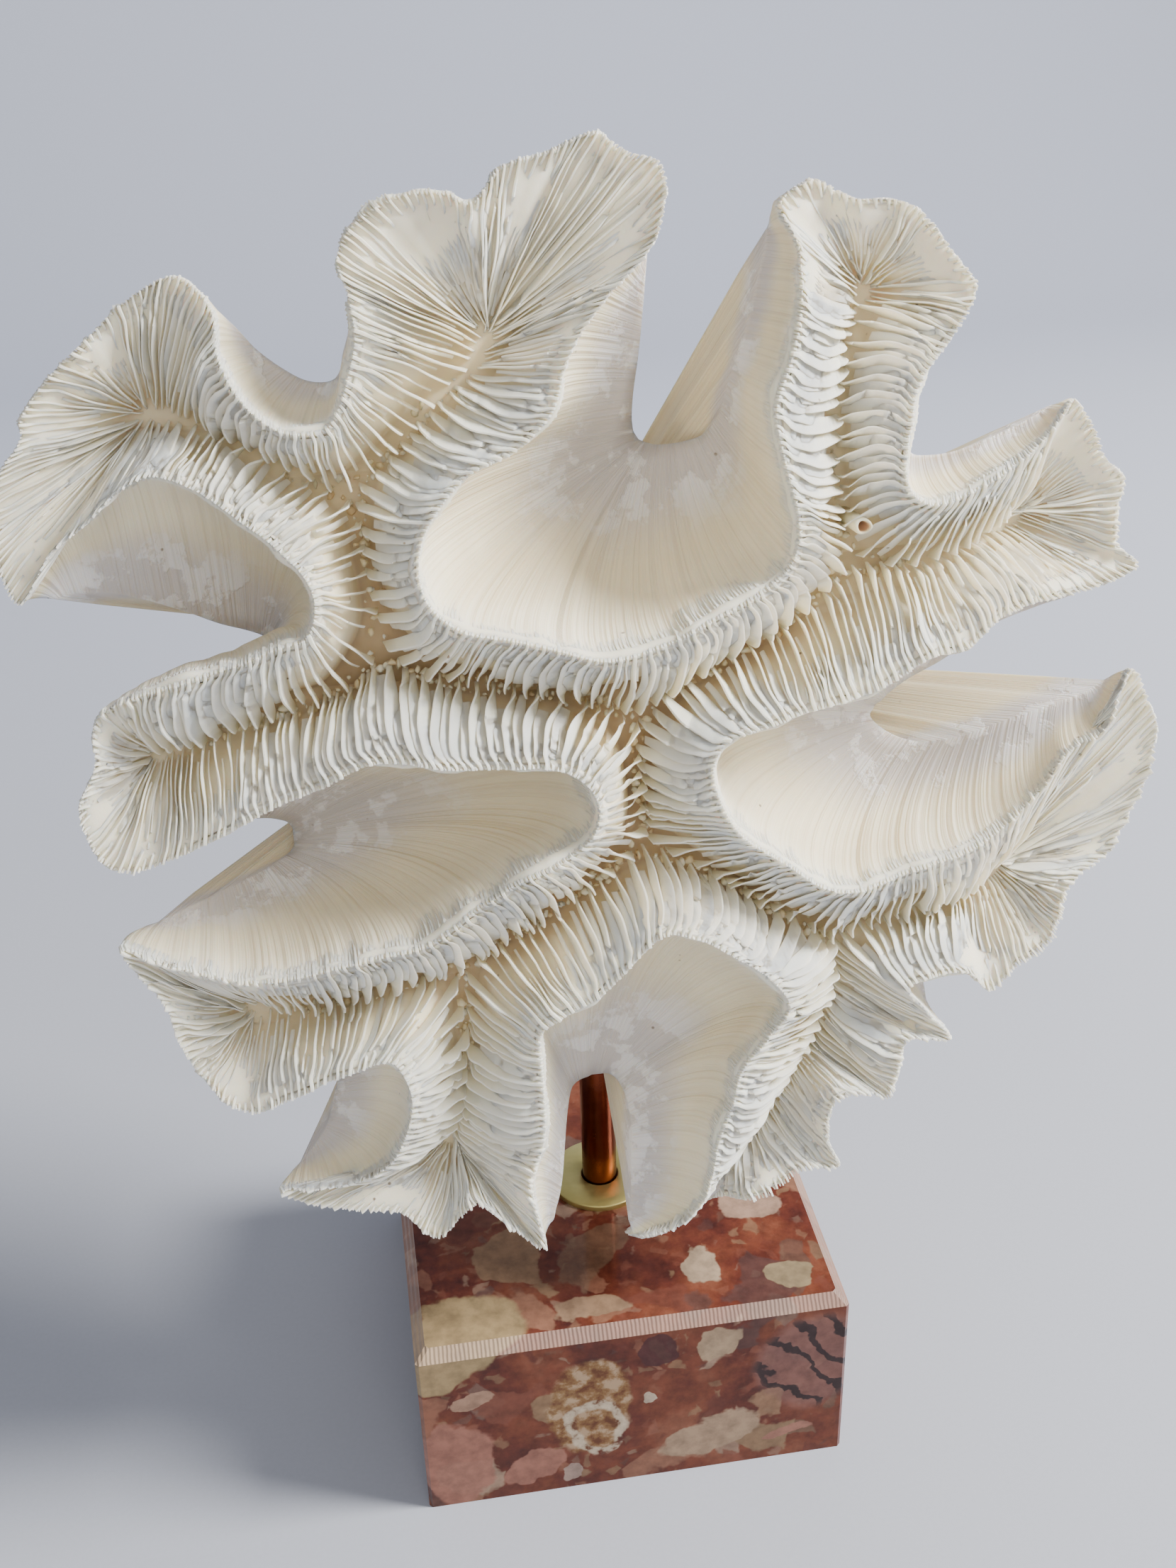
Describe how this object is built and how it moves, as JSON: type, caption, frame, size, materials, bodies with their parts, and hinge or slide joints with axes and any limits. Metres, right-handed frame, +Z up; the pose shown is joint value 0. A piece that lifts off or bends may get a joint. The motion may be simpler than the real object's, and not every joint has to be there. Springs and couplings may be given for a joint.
{
  "type": "mounted brain coral",
  "caption": "White folded brain coral with meandering septate ridges and open lobes, held upright on a copper rod over a polished stone block; a display specimen.",
  "frame": {"origin": "middle of the stone block's underside", "axes": "+Z up, the coral's face looks towards -Y, +X to the viewer's right"},
  "size_m": [0.2274, 0.1, 0.2984],
  "materials": {
    "stone": "polished red and beige breccia marble",
    "brass": "dull olive brass",
    "copper": "darkened glossy copper",
    "coral": "bleached ivory-white coral skeleton"
  },
  "bodies": {
    "root": {"marble_base": "stone", "brass_disc": "brass", "copper_rod": "copper", "coral_core": "coral", "lobe_top_left": "coral", "lobe_top_right": "coral", "lobe_right_upper": "coral", "lobe_right": "coral", "lobe_lower_right": "coral", "lobe_bottom_left": "coral", "lobe_left_lower": "coral", "lobe_left": "coral", "lobe_upper_left": "coral"}
  },
  "joints": []
}
